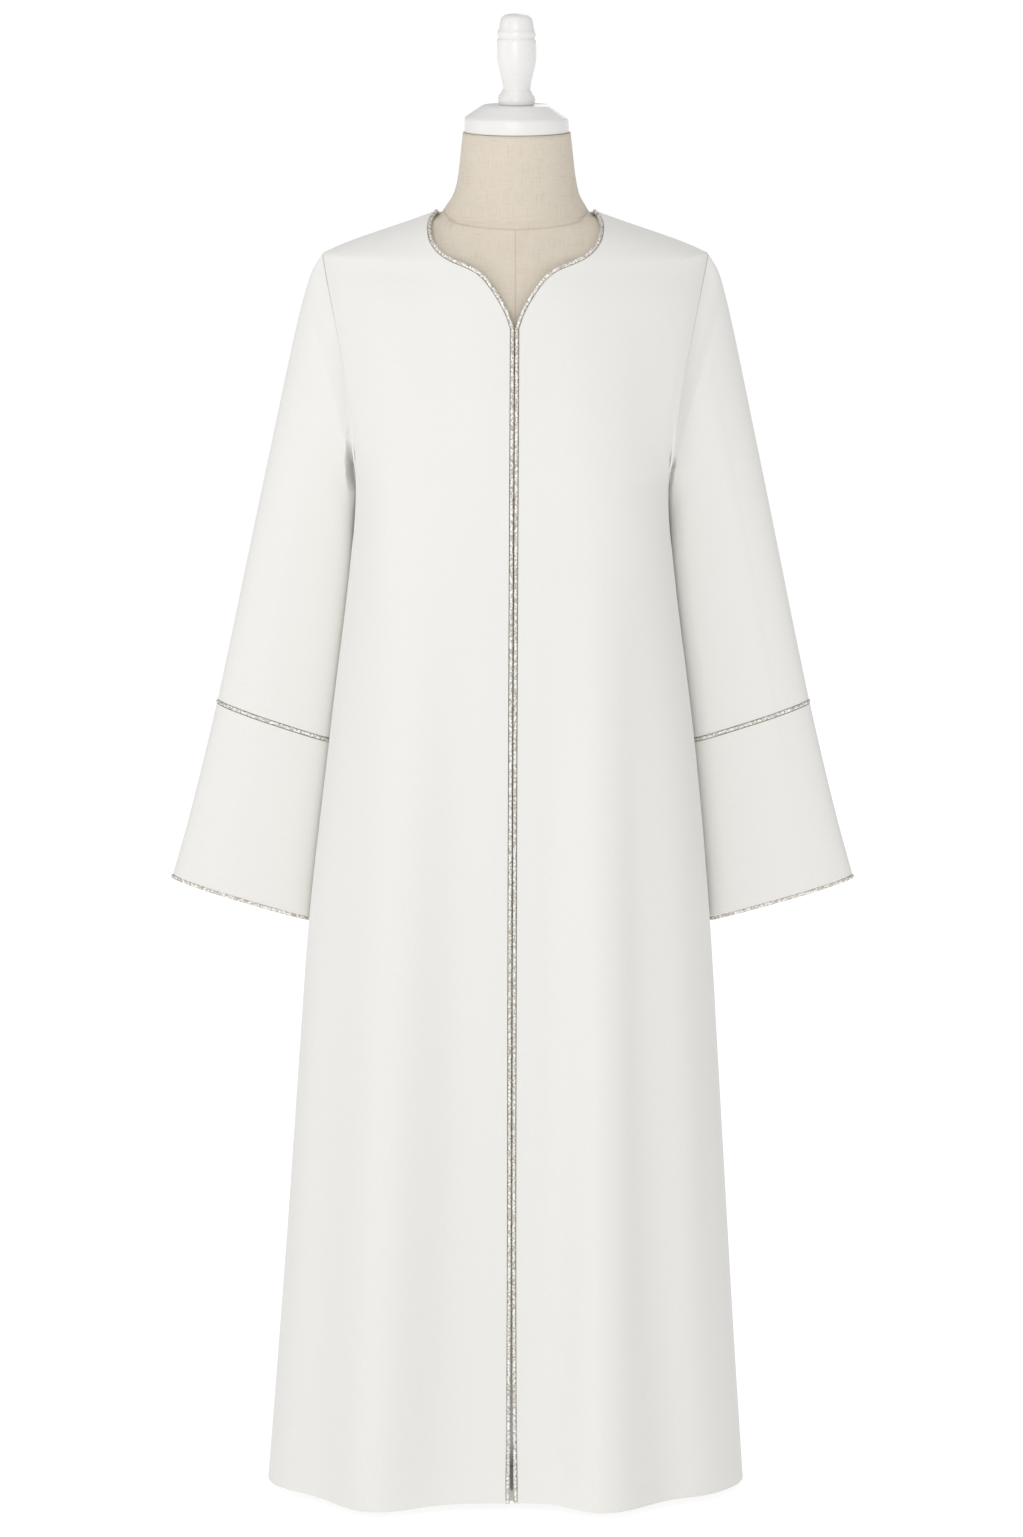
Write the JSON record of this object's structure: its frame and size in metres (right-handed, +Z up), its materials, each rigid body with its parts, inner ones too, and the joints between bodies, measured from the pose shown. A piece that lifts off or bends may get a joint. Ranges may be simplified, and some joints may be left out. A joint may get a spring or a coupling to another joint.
{
  "type": "abaya cloak on dress form",
  "caption": "Floor-length front-opening cloak with flared cuffs and metallic piping, hanging on a limbless linen dress form with a turned neck cap and a pole stand.",
  "frame": {"origin": "on the floor at the middle of the stand's foot, below the middle of the garment", "axes": "+Z up; the cloak opens towards -Y; +X is the wearer's left side"},
  "size_m": [0.7418, 0.3623, 1.602],
  "materials": {
    "cloth": "matte",
    "piping": "satin",
    "linen": "matte",
    "turned_wood": "satin",
    "stand_metal": "satin"
  },
  "bodies": {
    "root": {"front_right": "cloth", "front_left": "cloth", "back": "cloth", "sleeve_right": "cloth", "sleeve_left": "cloth", "cuff_right": "cloth", "cuff_left": "cloth", "piping_front_right": "piping", "piping_front_left": "piping", "piping_neck_back": "piping", "piping_cuff_seam_right": "piping", "piping_cuff_seam_left": "piping", "piping_cuff_hem_right": "piping", "piping_cuff_hem_left": "piping", "form_torso": "linen", "form_cap": "turned_wood", "form_finial": "turned_wood", "stand_pole": "stand_metal", "stand_base": "stand_metal"}
  },
  "joints": []
}
